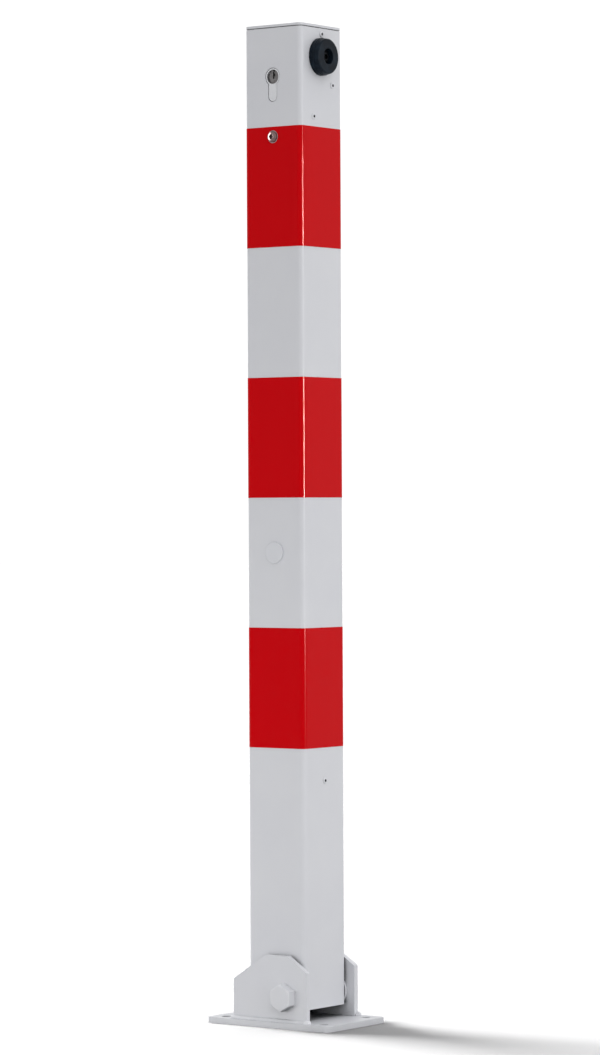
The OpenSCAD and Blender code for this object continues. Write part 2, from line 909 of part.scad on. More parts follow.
module cylinder_screw() {
    seat = cyl_tail / 2 + sheet_t;
    color(zinc)
        translate([0, 0, lock_z - cyl_screw_down])
            union() {
                rod_x_dir(0, 0, cyl_screw_d / 2, -cyl_tail / 2 + cyl_screw_in, seat);
                translate([seat, 0, 0])
                    rotate([0, 90, 0])
                        dome_head(cyl_head_d, cyl_head_h);
            }
}

// Flat bar whose notch takes the cam's nose, and whose foot sits in the rod's fork
module slide_bar() {
    notch_h = cam_nose + 2 * notch_play;
    notch_x = -cam_reach - notch_gap;
    notch_z = lock_z + cam_tip_r * sin(cam_rest);
    color(zinc)
        difference() {
            translate([rod_x - rod_r, -slide_t / 2, slide_bottom])
                cube([rod_d, slide_t, slide_top - slide_bottom]);
            translate([notch_x, -slide_t, notch_z - notch_h / 2])
                cube([cyl_d, 2 * slide_t, notch_h]);
            rod_y(rod_x, fork_pin_z, fork_pin_d / 2 + fit, -slide_t, slide_t);
        }
}

module fork_pin() {
    color(zinc)
        rod_y(rod_x, fork_pin_z, fork_pin_d / 2, -rod_r + pin_in, rod_r - pin_in);
}

// Round rod with a pointed tip below and a fork for the slide bar above
module lock_rod() {
    color(zinc)
        difference() {
            union() {
                translate([rod_x, 0, rod_bottom])
                    cylinder(r1 = rod_r - rod_tip, r2 = rod_r, h = rod_tip);
                translate([rod_x, 0, rod_bottom + rod_tip])
                    cylinder(r = rod_r, h = rod_top - rod_bottom - rod_tip);
            }
            translate([rod_x - rod_d, -slide_t / 2 - loose, rod_top - fork_depth])
                cube([2 * rod_d, slide_t + 2 * loose, fork_depth + cut]);
            rod_y(rod_x, fork_pin_z, fork_pin_d / 2 + fit, -rod_d, rod_d);
        }
}

// Angle on the folding side's wall whose shelf steadies the rod
module rod_guide() {
    shelf_back = rod_x - rod_r - shelf_rim;
    color(zinc)
        difference() {
            union() {
                translate([carrier_in, -guide_w / 2, guide_shelf_z])
                    cube([sheet_t, guide_w, guide_top - guide_shelf_z]);
                translate([shelf_back, -guide_w / 2, guide_shelf_z])
                    cube([inner - shelf_back, guide_w, sheet_t]);
            }
            translate([rod_x, 0, guide_shelf_z - cut])
                cylinder(r = rod_r + fit, h = sheet_t + 2 * cut);
            rod_x_dir(0, guide_z, rivet_r + loose, carrier_in - cut, inner + cut);
        }
}

module guide_rivet() {
    color(white)
        on_folding_face(0, guide_z)
            blind_rivet(post_wall + sheet_t);
}

// Flat-headed plug that closes the access hole
module access_plug() {
    stub_r = plug_hole_d / 2 - loose;
    head_r = plug_head_d / 2;
    color(white)
        difference() {
            union() {
                rod_y(0, plug_z, stub_r, -face, -inner + plug_stub);
                rod_y(0, plug_z, head_r, -face - plug_head_h + plug_bevel, -face);
                translate([0, -face - plug_head_h + plug_bevel, plug_z])
                    rotate([90, 0, 0])
                        cylinder(r1 = head_r, r2 = head_r - plug_bevel, h = plug_bevel);
            }
            rod_y(0, plug_z, stub_r - plug_wall, -face + plug_bevel, -inner + plug_stub + cut);
        }
}

base_plate();
ear_key_side();
ear_far_side();
at_post() keeper_block();
at_post() pivot_bolt();
at_post() nut_washer();
at_post() pivot_nut();
at_post() spacer_key_side();
at_post() spacer_far_side();
at_post() post_tube();
at_post() pivot_sleeve();
at_post() foot_guide();
at_post() top_cap();
at_post() cap_rivet();
at_post() band_top();
at_post() band_middle();
at_post() band_bottom();
at_post() rubber_buffer();
at_post() buffer_washer();
at_post() buffer_screw();
at_post() buffer_nut();
at_post() lock_carrier();
at_post() carrier_rivets();
at_post() carrier_screw();
at_post() carrier_nut();
at_post() lock_housing();
at_post() lock_plug();
at_post() lock_cam();
at_post() cylinder_screw();
at_post() slide_bar();
at_post() fork_pin();
at_post() lock_rod();
at_post() rod_guide();
at_post() guide_rivet();
at_post() access_plug();
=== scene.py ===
# %% [markdown]
# # Fold-down parking bollard: the looks
# The CAD model gives every steel part its true shape and place. This lesson dresses
# it: paint, reflective film, rubber, zinc and nickel, and the small things that a
# workshop leaves behind, such as weld beads, a thread and the overlap of a film.
# Everything is in metres, with the origin in the middle of the base plate's underside,
# +Z up, and the post folds down towards +X.

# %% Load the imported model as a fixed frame
import json
import math

import bmesh
import bpy
import numpy as np
from mathutils import Matrix, Vector

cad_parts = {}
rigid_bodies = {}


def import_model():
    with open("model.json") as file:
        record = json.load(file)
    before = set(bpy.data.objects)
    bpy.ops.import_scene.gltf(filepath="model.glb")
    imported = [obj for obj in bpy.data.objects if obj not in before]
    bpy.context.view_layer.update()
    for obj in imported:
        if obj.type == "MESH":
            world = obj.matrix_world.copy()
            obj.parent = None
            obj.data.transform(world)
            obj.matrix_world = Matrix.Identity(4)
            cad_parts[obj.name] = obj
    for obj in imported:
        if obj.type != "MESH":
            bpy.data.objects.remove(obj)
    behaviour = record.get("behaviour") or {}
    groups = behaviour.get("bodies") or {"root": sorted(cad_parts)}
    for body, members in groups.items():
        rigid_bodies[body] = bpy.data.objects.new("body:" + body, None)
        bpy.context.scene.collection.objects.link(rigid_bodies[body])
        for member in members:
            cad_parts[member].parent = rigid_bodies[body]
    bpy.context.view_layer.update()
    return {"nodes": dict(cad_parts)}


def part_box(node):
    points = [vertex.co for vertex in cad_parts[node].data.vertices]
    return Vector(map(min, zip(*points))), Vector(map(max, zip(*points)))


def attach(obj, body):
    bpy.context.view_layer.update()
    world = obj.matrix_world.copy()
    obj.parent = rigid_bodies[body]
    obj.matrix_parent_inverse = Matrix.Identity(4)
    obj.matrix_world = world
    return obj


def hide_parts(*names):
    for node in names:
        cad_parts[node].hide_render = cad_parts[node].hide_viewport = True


for leftover in list(bpy.data.objects):
    bpy.data.objects.remove(leftover)
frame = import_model()
nodes = frame["nodes"]
MM = 0.001
print("CAD nodes:", len(nodes))

# %% [markdown]
# ## Small helpers
# Colours are written as the sRGB hex values that a paint chart gives, but Blender's
# nodes work in linear light, so one function turns the first into the second.
# A second function adds a node, sets it and links it in one line. It serves shader
# trees and Geometry Nodes trees alike. Sockets that share a name are given by number:
# a Map Range takes its From limits at 1 and 2 and its To limits at 3 and 4, and a Mix
# of colours takes them at 6 and 7 and gives the result at 2.

# %% Colour and node helpers
def linear(hex_colour):
    """An sRGB hex colour as linear RGBA."""
    parts = [int(hex_colour[i:i + 2], 16) / 255 for i in (1, 3, 5)]
    return [p / 12.92 if p <= 0.04045 else ((p + 0.055) / 1.055) ** 2.4 for p in parts] + [1.0]


def put(tree, kind, inputs=None, **settings):
    """Adds a node. inputs maps a socket's name or number to a value, to another
    node's output, or to a whole node, which stands for its first output."""
    node = tree.nodes.new(kind)
    for name, value in settings.items():
        setattr(node, name, value)
    for socket, value in (inputs or {}).items():
        if isinstance(value, bpy.types.Node):
            value = value.outputs[0]
        if isinstance(value, bpy.types.NodeSocket):
            tree.links.new(value, node.inputs[socket])
        else:
            node.inputs[socket].default_value = value
    return node


print("white as written in linear light:", [round(v, 3) for v in linear("#DCDEE2")])

# %% [markdown]
# ## Camera
# The photograph was taken from in front of the key side and a little towards the
# folding side, with a long lens at about half the post's height. The lens and place
# below were worked out from the straight edges of the tube, whose size is known.
# The camera's own axes are built from its angles, so no tracking constraint is needed.

# %% Place the camera
tube_low, tube_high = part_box("post_tube")
frame_middle_x = (tube_low.x + tube_high.x) / 2
CAMERA_TURN = math.radians(36.237)
CAMERA_PITCH = math.radians(0.195)
CAMERA_ROLL = math.radians(-0.265)
CAMERA_DISTANCE = 4.122
CAMERA_SHIFT_RIGHT = 0.00464
LOOK_AT = Vector((frame_middle_x, 0, 0.498))
LENS_MM = 139.97
SENSOR_MM = 36
VIEW_END = 100

right = Vector((math.cos(CAMERA_TURN), math.sin(CAMERA_TURN), 0))
back = Vector((
    math.sin(CAMERA_TURN) * math.cos(CAMERA_PITCH),
    -math.cos(CAMERA_TURN) * math.cos(CAMERA_PITCH),
    math.sin(CAMERA_PITCH),
))
up = back.cross(right)
rolled_right = right * math.cos(CAMERA_ROLL) + up * math.sin(CAMERA_ROLL)
rolled_up = up * math.cos(CAMERA_ROLL) - right * math.sin(CAMERA_ROLL)

camera = bpy.data.objects.new("camera", bpy.data.cameras.new("camera"))
camera.data.lens = LENS_MM
camera.data.sensor_width = SENSOR_MM
camera.data.clip_end = VIEW_END
axes = Matrix((rolled_right, rolled_up, back)).transposed()
stand = LOOK_AT + right * CAMERA_SHIFT_RIGHT + back * CAMERA_DISTANCE
camera.matrix_world = Matrix.Translation(stand) @ axes.to_4x4()
bpy.context.scene.collection.objects.link(camera)
bpy.context.scene.camera = camera
bpy.context.scene.view_settings.view_transform = "Standard"
print("camera stands at", [round(v, 3) for v in camera.matrix_world.translation])

# %% [markdown]
# ## Studio light
# A white steel post on white paper is lit by a large soft dome. It is a little
# brighter on the folding side than on the key side, because in the photograph the two
# faces differ by about one step of grey. The camera and the polished parts see plain
# white where the dome is, which is what Light Path's ray switches are for. That white
# is a hair above 1, so that floor and background meet without a line.

# %% Soft dome
DOME_LEVEL = 0.665
DOME_LEAN = 0.54
DOME_TOWARDS = Vector((0.93, 0.05, 0.35)).normalized()
DOME_COLOUR = "#FDFDFF"
PAPER_STRENGTH = 1.08


def sharp_rays(tree):
    """1 for rays that show a clear picture: camera, glossy and transmission rays."""
    ray = put(tree, "ShaderNodeLightPath").outputs
    direct = put(tree, "ShaderNodeMath", {
        0: ray["Is Camera Ray"], 1: ray["Is Glossy Ray"]}, operation="MAXIMUM")
    return put(tree, "ShaderNodeMath", {
        0: direct, 1: ray["Is Transmission Ray"]}, operation="MAXIMUM")


world = bpy.data.worlds.new("soft_dome")
bpy.context.scene.world = world
world.use_nodes = True
tree = world.node_tree
tree.nodes.clear()
sky = put(tree, "ShaderNodeTexCoord")
side = put(tree, "ShaderNodeVectorMath", {
    0: sky.outputs["Generated"], 1: DOME_TOWARDS}, operation="DOT_PRODUCT")
level = put(tree, "ShaderNodeMath", {
    0: side.outputs["Value"], 1: DOME_LEAN, 2: DOME_LEVEL}, operation="MULTIPLY_ADD")
dome = put(tree, "ShaderNodeBackground", {"Color": linear(DOME_COLOUR), "Strength": level})
paper = put(tree, "ShaderNodeBackground", {"Color": (1, 1, 1, 1), "Strength": PAPER_STRENGTH})
seen = put(tree, "ShaderNodeMixShader", {0: sharp_rays(tree), 1: dome, 2: paper})
put(tree, "ShaderNodeOutputWorld", {"Surface": seen})
print("dome level", DOME_LEVEL, "leaning", DOME_LEAN)

# %% [markdown]
# ## Floor
# The floor is matt white paper. To the camera it is bright enough to merge with the
# background, and only the shadow stands out. For the light that it throws back up on
# the post it has a lower, plain value, so that the paint isn't washed out.

# %% Floor sheet
FLOOR_HALF = 30.0
FLOOR_SEEN = 0.235
FLOOR_BOUNCE = 0.118

sheet = bpy.data.meshes.new("floor")
h = FLOOR_HALF
sheet.from_pydata([(-h, -h, 0), (h, -h, 0), (h, h, 0), (-h, h, 0)], [], [(0, 1, 2, 3)])
floor = bpy.data.objects.new("floor", sheet)
bpy.context.scene.collection.objects.link(floor)

white_paper = bpy.data.materials.new("white_paper_floor")
white_paper.use_nodes = True
tree = white_paper.node_tree
tree.nodes.clear()
value = put(tree, "ShaderNodeMapRange", {0: sharp_rays(tree), 3: FLOOR_BOUNCE, 4: FLOOR_SEEN})
matt = put(tree, "ShaderNodeBsdfDiffuse", {"Color": value})
put(tree, "ShaderNodeOutputMaterial", {"Surface": matt})
sheet.materials.append(white_paper)
print("floor sheet is", 2 * FLOOR_HALF, "m wide")

# %% [markdown]
# ## Lamps
# Three low lamps from behind and left stand side by side like a fan. Near the plate
# their shadows lie over each other, dark, and further right they part and fade, as the
# photograph shows. A high wide one leaves the soft dark rim under the plate's front
# edge. These four shine on the floor alone, so the paint isn't burnt out: light linking
# tells a lamp which objects it reaches. The post gets a fraction of that light from a
# lamp of its own.

# %% A helper for lamps
def add_lamp(name, kind, towards, at=(0, 0, 2), **settings):
    """Adds a lamp at a point, turned to shine along a direction."""
    lamp = bpy.data.objects.new(name, bpy.data.lights.new(name, kind))
    for key, value in settings.items():
        setattr(lamp.data, key, value)
    turn = Vector(towards).to_track_quat("-Z", "Y").to_matrix().to_4x4()
    lamp.matrix_world = Matrix.Translation(at) @ turn
    bpy.context.scene.collection.objects.link(lamp)
    return lamp


def from_angles(azimuth, rise):
    """A unit vector that points to a lamp, from its compass angle and its height in degrees."""
    turn, lift = math.radians(azimuth), math.radians(rise)
    level = math.cos(lift)
    return Vector((math.cos(turn) * level, math.sin(turn) * level, math.sin(lift)))


print("towards a lamp behind, 30 degrees up:", [round(v, 2) for v in from_angles(180, 30)])

# %% Lamps that draw the shadow
# Each lamp: its compass angle, its height and its spread in degrees, and its energy.
FLOOR_LAMPS = {
    "shadow_lamp": (174, 30, 13, 7.5),
    "second_shadow_lamp": (164, 30, 10, 5.7),
    "third_shadow_lamp": (184, 30, 13, 5.9),
    "rim_shadow_lamp": (120, 42, 60, 3.0),
}
REAR_LAMP = (171, 31, 11, 0.9)

only_floor = bpy.data.collections.new("only_floor")
only_floor.objects.link(floor)
for name, (azimuth, rise, spread, energy) in {**FLOOR_LAMPS, "rear_lamp": REAR_LAMP}.items():
    lamp = add_lamp(
        name, "SUN", -from_angles(azimuth, rise), energy=energy, angle=math.radians(spread))
    if name in FLOOR_LAMPS:
        lamp.light_linking.receiver_collection = only_floor
print("floor lamps:", list(FLOOR_LAMPS))

# %% [markdown]
# ## Lamps for the post
# Two low soft lamps make the foot a little lighter than the top, one for the key side
# and one for the folding side. A tall narrow lamp, seen only in reflections, draws the
# bright line down the tube's rounded corner, and a stronger one in the same place
# serves the red bands alone, because their dark film reflects far less than the satin
# paint. A tall lamp on the left puts the crescent of light on the round screw head.

# %% Low lamps
# Each low lamp: its place, and its energy.
LOW_LAMPS = {
    "low_key_side_lamp": ((-0.35, -0.80, 0.06), 1.7),
    "low_folding_side_lamp": ((1.00, -0.45, 0.08), 0.6),
}
LOW_SIZE = {"shape": "RECTANGLE", "size": 0.6, "size_y": 0.25}

for name, (place, energy) in LOW_LAMPS.items():
    lamp = add_lamp(name, "AREA", (-place[0], -place[1], 0.0), place, energy=energy, **LOW_SIZE)
    lamp.visible_glossy = False
    lamp.visible_camera = False
print("low lamps:", list(LOW_LAMPS))

# %% Lamps that show in reflections
STRIP_AZIMUTH = 5
STRIP_DISTANCE = 3.0
STRIP_MIDDLE = 0.72
STRIP_SIZE = {"shape": "RECTANGLE", "size": 0.14, "size_y": 0.76}
STRIP_ENERGY = 30
FILM_ENERGY = 520
CRESCENT_AZIMUTH = 206
CRESCENT_DISTANCE = 2.0
CRESCENT_HEIGHT = 1.3
CRESCENT_SIZE = {"shape": "RECTANGLE", "size": 1.1, "size_y": 2.2}
CRESCENT_ENERGY = 90
BANDS = ("band_top", "band_middle", "band_bottom")


def linked_to(name, members):
    """A collection that a lamp can be limited to."""
    chosen = bpy.data.collections.new(name)
    for member in members:
        chosen.objects.link(member)
    return chosen


strip_side = from_angles(STRIP_AZIMUTH, 0)
strip_place = strip_side * STRIP_DISTANCE + Vector((0, 0, STRIP_MIDDLE))
strip_lamp = add_lamp(
    "strip_lamp", "AREA", -strip_side, strip_place, energy=STRIP_ENERGY, **STRIP_SIZE)
film_lamp = add_lamp(
    "film_lamp", "AREA", -strip_side, strip_place, energy=FILM_ENERGY, **STRIP_SIZE)
bands = [nodes[name] for name in BANDS]
film_lamp.light_linking.receiver_collection = linked_to("only_bands", bands)
crescent_side = from_angles(CRESCENT_AZIMUTH, 0)
crescent_place = crescent_side * CRESCENT_DISTANCE + Vector((0, 0, CRESCENT_HEIGHT))
crescent_lamp = add_lamp(
    "crescent_lamp", "AREA", -crescent_side, crescent_place,
    energy=CRESCENT_ENERGY, **CRESCENT_SIZE)
fittings = [nodes[name] for name in ("carrier_screw", "rubber_buffer")]
crescent_lamp.light_linking.receiver_collection = linked_to("only_fittings", fittings)
for lamp in (strip_lamp, film_lamp, crescent_lamp):
    lamp.visible_diffuse = False
    lamp.visible_camera = False

# %% [markdown]
# ## Powder coat
# The post, the cap, the plate and its ears are coated with polyester powder that melts
# in the oven to a satin white skin, a little cool in tone. What the eye sees is the
# faint orange peel where the powder flowed, softly rounded edges, because paint draws
# back from a sharp corner, and a slightly uneven sheen. The peel is about 2 mm from
# hill to hill and hardly 0.01 mm high. The Bevel node rounds the edges in the shading
# only, so the true geometry stays. Shade in narrow gaps is painted into the colour:
# the Ambient Occlusion node finds the gaps and darkens the paint towards a dark
# blue-grey, once for wide hidden places such as under the tube, once for thin ones
# such as the seam. A noise texture's values lie between about 0.3 and 0.7, and Map
# Range spreads them.

# %% Helpers for materials
def new_material(name):
    """An empty material and its node tree."""
    material = bpy.data.materials.new(name)
    material.use_nodes = True
    material.node_tree.nodes.clear()
    return material, material.node_tree


def finish_surface(tree, principled):
    """Links the shader to the output."""
    put(tree, "ShaderNodeOutputMaterial", {"Surface": principled})


print("materials so far:", [material.name for material in bpy.data.materials])

# %% Build the powder coat
NOISE_LOW, NOISE_HIGH = 0.3, 0.7
EDGE_SAMPLES = 6
GAP_SAMPLES = 12
PEEL_MM = 2.2
CLOUD_MM = 71.43
SPECK_MM = 1.1111
SHEEN_SPREAD = 0.05
EDGE_MM = 0.8
# Colour of the painted shade that darkens the coat in narrow gaps.
PAINTED_GAP_SHADE = "#0A141C"
# How far the occlusion looks, and the open shares that get the full painted shade and none of
# it.
HIDDEN_MM, HIDDEN_FULL_SHADE, HIDDEN_NO_SHADE = 34, 0.14, 0.40
THIN_MM, THIN_FULL_SHADE, THIN_NO_SHADE = 5, 0.08, 0.36


def coat(name, colour, shade, edge_mm, roughness):
    """A powder-coated surface: soft edges, orange peel, uneven tone and painted shade in gaps.
    """
    material, tree = new_material(name)
    place = put(tree, "ShaderNodeTexCoord").outputs["Object"]
    peel = put(tree, "ShaderNodeTexNoise", {
        "Vector": place, "Scale": 1 / (PEEL_MM * MM), "Detail": 2.0, "Roughness": 0.4})
    cloud = put(tree, "ShaderNodeTexNoise", {
        "Vector": place, "Scale": 1 / (CLOUD_MM * MM), "Detail": 3.0, "Roughness": 0.5})
    speck = put(tree, "ShaderNodeTexNoise", {
        "Vector": place, "Scale": 1 / (SPECK_MM * MM), "Detail": 1.0})
    tone = put(tree, "ShaderNodeMapRange", {0: cloud, 1: NOISE_LOW, 2: NOISE_HIGH})
    unshaded_tone = put(tree, "ShaderNodeMix", {
        0: tone, 6: linear(shade), 7: linear(colour)}, data_type="RGBA")
    # Painted shade: two Ambient Occlusion lookups find wide and thin gaps.
    wide = put(tree, "ShaderNodeAmbientOcclusion", {
        "Distance": HIDDEN_MM * MM}, samples=GAP_SAMPLES)
    hidden = put(tree, "ShaderNodeMapRange", {
        0: wide.outputs["AO"], 1: HIDDEN_FULL_SHADE, 2: HIDDEN_NO_SHADE})
    near = put(tree, "ShaderNodeAmbientOcclusion", {
        "Distance": THIN_MM * MM}, samples=GAP_SAMPLES)
    thin = put(tree, "ShaderNodeMapRange", {
        0: near.outputs["AO"], 1: THIN_FULL_SHADE, 2: THIN_NO_SHADE})
    unshaded_share = put(tree, "ShaderNodeMath", {0: hidden, 1: thin}, operation="MULTIPLY")
    # Mixes the painted shade into the coat's colour where the gaps are narrow.
    paint = put(tree, "ShaderNodeMix", {
        0: unshaded_share, 6: linear(PAINTED_GAP_SHADE), 7: unshaded_tone.outputs[2]}, data_type="RGBA")
    sheen = put(tree, "ShaderNodeMapRange", {
        0: speck, 1: NOISE_LOW, 2: NOISE_HIGH,
        3: roughness - SHEEN_SPREAD, 4: roughness + SHEEN_SPREAD})
    edge = put(tree, "ShaderNodeBevel", {"Radius": edge_mm * MM}, samples=EDGE_SAMPLES)
    bump = put(tree, "ShaderNodeBump", {
        "Strength": 0.35, "Distance": 0.02 * MM, "Height": peel, "Normal": edge})
    surface = put(tree, "ShaderNodeBsdfPrincipled", {
        "Base Color": paint.outputs[2], "Roughness": sheen, "IOR": 1.5, "Normal": bump})
    finish_surface(tree, surface)
    return material


white_coat = coat("polyester_powder_coat_white", "#DCDDE0", "#D8D9DD", EDGE_MM, 0.42)
print("orange peel scale per metre:", round(1 / (PEEL_MM * MM)))

# %% [markdown]
# ## Moulded white plastic
# The plug over the access hole is polyamide in the same white, moulded in a spark
# eroded tool, which leaves a fine even grain of about 0.4 mm and a duller surface than
# the paint.

# %% Build the white plastic
GRAIN_MM = 0.45
PLUG_EDGE_MM = 0.4
moulded_white, tree = new_material("moulded_polyamide_white")
place = put(tree, "ShaderNodeTexCoord").outputs["Object"]
grain = put(tree, "ShaderNodeTexNoise", {
    "Vector": place, "Scale": 1 / (GRAIN_MM * MM), "Detail": 1.0})
tone = put(tree, "ShaderNodeMix", {
    0: grain, 6: linear("#D6D8DC"), 7: linear("#DEDFE3")}, data_type="RGBA")
edge = put(tree, "ShaderNodeBevel", {"Radius": PLUG_EDGE_MM * MM}, samples=EDGE_SAMPLES)
bump = put(tree, "ShaderNodeBump", {
    "Strength": 0.4, "Distance": 0.03 * MM, "Height": grain, "Normal": edge})
surface = put(tree, "ShaderNodeBsdfPrincipled", {
    "Base Color": tone.outputs[2], "Roughness": 0.5, "IOR": 1.53, "Normal": bump})
finish_surface(tree, surface)
print("plastic grain per metre:", round(1 / (GRAIN_MM * MM)))

# %% [markdown]
# ## Red reflective film
# The bands are self-adhesive film: a clear glossy skin over red colour and a layer of
# tiny glass beads that throw headlights back. The beads' very fine sparkle is painted
# into the colour as a slightly lighter red at each bead, drawn here at 0.5 mm, coarser
# than the real 0.06 mm, so that it shows. The skin is much smoother than the paint, but
# the paint's orange peel shows through it.

# %% Build the film
BEAD_MM = 0.5
FADING_MM = 100
FILM_EDGE_MM = 0.2
film_red, tree = new_material("reflective_film_red")
place = put(tree, "ShaderNodeTexCoord").outputs["Object"]
beads = put(tree, "ShaderNodeTexVoronoi", {"Vector": place, "Scale": 1 / (BEAD_MM * MM)})
cloud = put(tree, "ShaderNodeTexNoise", {
    "Vector": place, "Scale": 1 / (FADING_MM * MM), "Detail": 2.0})
# Painted highlight: a slightly lighter red at each bead's centre stands for its sparkle.
painted_bead_sparkle = put(tree, "ShaderNodeMix", {
    0: beads.outputs["Distance"], 6: linear("#D8000D"), 7: linear("#C90008")}, data_type="RGBA")
tone = put(tree, "ShaderNodeMix", {
    0: cloud, 6: painted_bead_sparkle.outputs[2], 7: linear("#CF000B")}, data_type="RGBA")
peel = put(tree, "ShaderNodeTexNoise", {
    "Vector": place, "Scale": 1 / (2 * PEEL_MM * MM), "Detail": 1.0})
edge = put(tree, "ShaderNodeBevel", {"Radius": FILM_EDGE_MM * MM}, samples=EDGE_SAMPLES)
bump = put(tree, "ShaderNodeBump", {
    "Strength": 0.10, "Distance": 0.02 * MM, "Height": peel, "Normal": edge})
surface = put(tree, "ShaderNodeBsdfPrincipled", {
    "Base Color": tone.outputs[2], "Roughness": 0.12, "IOR": 1.48,
    "Specular IOR Level": 0.08, "Specular Tint": (1.0, 0.48, 0.44, 1.0), "Normal": bump})
finish_surface(tree, surface)
print("bead pattern per metre:", round(1 / (BEAD_MM * MM)))

# %% [markdown]
# ## Rubber
# The buffer is moulded from black EPDM, which weathers to a slightly bluish, dusty
# grey in patches. It is matt, with a fine pebbled skin from the mould.

# %% Build the rubber
PEBBLE_MM = 0.7
DUST_MM = 11.111
DUST_STARTS, DUST_FULL = 0.42, 0.75
RUBBER_SMOOTH, RUBBER_MATT = 0.28, 0.45
RUBBER_EDGE_MM = 0.5
rubber, tree = new_material("moulded_epdm_rubber_black")
place = put(tree, "ShaderNodeTexCoord").outputs["Object"]
pebble = put(tree, "ShaderNodeTexVoronoi", {
    "Vector": place, "Scale": 1 / (PEBBLE_MM * MM), "Smoothness": 0.6}, feature="SMOOTH_F1")
dust = put(tree, "ShaderNodeTexNoise", {
    "Vector": place, "Scale": 1 / (DUST_MM * MM), "Detail": 4.0, "Roughness": 0.6})
dusty = put(tree, "ShaderNodeMapRange", {0: dust, 1: DUST_STARTS, 2: DUST_FULL})
tone = put(tree, "ShaderNodeMix", {
    0: dusty, 6: linear("#0A131C"), 7: linear("#1A2631")}, data_type="RGBA")
matt = put(tree, "ShaderNodeMapRange", {
    0: dust, 1: NOISE_LOW, 2: NOISE_HIGH, 3: RUBBER_SMOOTH, 4: RUBBER_MATT})
edge = put(tree, "ShaderNodeBevel", {"Radius": RUBBER_EDGE_MM * MM}, samples=EDGE_SAMPLES)
bump = put(tree, "ShaderNodeBump", {
    "Strength": 0.3, "Distance": 0.06 * MM, "Height": pebble.outputs["Distance"],
    "Normal": edge})
surface = put(tree, "ShaderNodeBsdfPrincipled", {
    "Base Color": tone.outputs[2], "Roughness": matt, "IOR": 1.52,
    "Specular IOR Level": 0.08, "Normal": bump})
finish_surface(tree, surface)
print("rubber pebbles per metre:", round(1 / (PEBBLE_MM * MM)))

# %% [markdown]
# ## Bare and plated metals
# Five metals show: bright zinc plate on nuts, washers and sheet parts, satin nickel on
# the lock's housing, a much darker brushed copy of the nickel on its plug and cam, which
# paints the shade and dark reflection of the recessed plug face, dark steel tinted red
# on the round screw, which paints dark and red reflections on its head, and black oxide
# on the buffer's screw. One recipe serves them, because each is a metal with fine
# marks: its colour wanders a little, its sheen is uneven, and brushed parts have short
# scratches that run one way. What differs is a handful of values.

# %% Build the metals
BLOOM_MM = 6.25
METAL_EDGE_MM = 0.25
SHINIER, DULLER = 0.06, 0.08


def plated(name, light_tone, dark_tone, roughness, grain, mark_mm, depth_mm):
    """A metal whose marks are mark_mm apart and depth_mm deep. grain stretches them
    along an axis where its share is under 1."""
    material, tree = new_material(name)
    place = put(tree, "ShaderNodeTexCoord").outputs["Object"]
    turned = put(tree, "ShaderNodeMapping", {"Vector": place, "Scale": grain})
    marks = put(tree, "ShaderNodeTexNoise", {
        "Vector": turned, "Scale": 1 / (mark_mm * MM), "Detail": 3.0})
    bloom = put(tree, "ShaderNodeTexNoise", {
        "Vector": place, "Scale": 1 / (BLOOM_MM * MM), "Detail": 3.0, "Roughness": 0.6})
    blend = put(tree, "ShaderNodeMapRange", {0: bloom, 1: NOISE_LOW, 2: NOISE_HIGH})
    tone = put(tree, "ShaderNodeMix", {
        0: blend, 6: linear(dark_tone), 7: linear(light_tone)}, data_type="RGBA")
    sheen = put(tree, "ShaderNodeMapRange", {
        0: marks, 1: NOISE_LOW, 2: NOISE_HIGH, 3: roughness - SHINIER,
        4: roughness + DULLER})
    edge = put(tree, "ShaderNodeBevel", {"Radius": METAL_EDGE_MM * MM}, samples=EDGE_SAMPLES)
    bump = put(tree, "ShaderNodeBump", {
        "Strength": 0.5, "Distance": depth_mm * MM, "Height": marks, "Normal": edge})
    surface = put(tree, "ShaderNodeBsdfPrincipled", {
        "Base Color": tone.outputs[2], "Metallic": 1.0, "Roughness": sheen, "Normal": bump})
    finish_surface(tree, surface)
    return material


EVEN = (1, 1, 1)
LENGTHWAYS = (1, 1, 0.08)
zinc_plate = plated(
    "zinc_plated_steel", "#C9CDD2", "#A9AEB4", 0.36, EVEN, 0.9, 0.01)
housing_nickel = plated(
    "satin_nickel_housing", "#C2C3C6", "#B7B8BB", 0.42, EVEN, 0.35, 0.006)
# A darker copy of the nickel: painted shade and dark reflection for the recessed plug face.
plug_nickel_painted_dark = plated(
    "brushed_nickel_plug_painted_shade", "#757374", "#4E4C4B", 0.30, LENGTHWAYS, 0.25, 0.01)
# Dark, red-tinted steel: painted dark and red reflections on the screw head.
screw_steel_painted_reflection = plated(
    "stainless_screw_painted_reflection", "#7D6A69", "#5C4A4A", 0.24, EVEN, 0.6, 0.006)
black_oxide = plated(
    "black_oxide_steel", "#1E2024", "#101114", 0.45, EVEN, 0.5, 0.01)
metals = (zinc_plate, housing_nickel, plug_nickel_painted_dark, screw_steel_painted_reflection, black_oxide)
print("metals:", [metal.name for metal in metals])

# %% [markdown]
# ## Give every CAD node its finish
# Each CAD node came in with a plain material named after its slot in the record. The
# slot's name says which finish it gets, and three nodes get a finish of their own.

# %% Assign the materials
FINISH = {
    "powder_coat": white_coat,
    "white_cap": moulded_white,
    "red_film": film_red,
    "buffer_rubber": rubber,
    "zinc": zinc_plate,
    "nickel": housing_nickel,
    "black_steel": black_oxide,
}
# The plug, cam and screw get copies that carry painted shade and painted reflections.
SPECIAL_FINISH = {
    "lock_plug": plug_nickel_painted_dark,
    "lock_cam": plug_nickel_painted_dark,
    "carrier_screw": screw_steel_painted_reflection,
}
for node in nodes.values():
    for slot in node.material_slots:
        slot.material = FINISH[slot.material.name.split(".")[0]]
for name, finish in SPECIAL_FINISH.items():
    nodes[name].material_slots[0].material = finish
print("finishes on", len(nodes), "nodes")

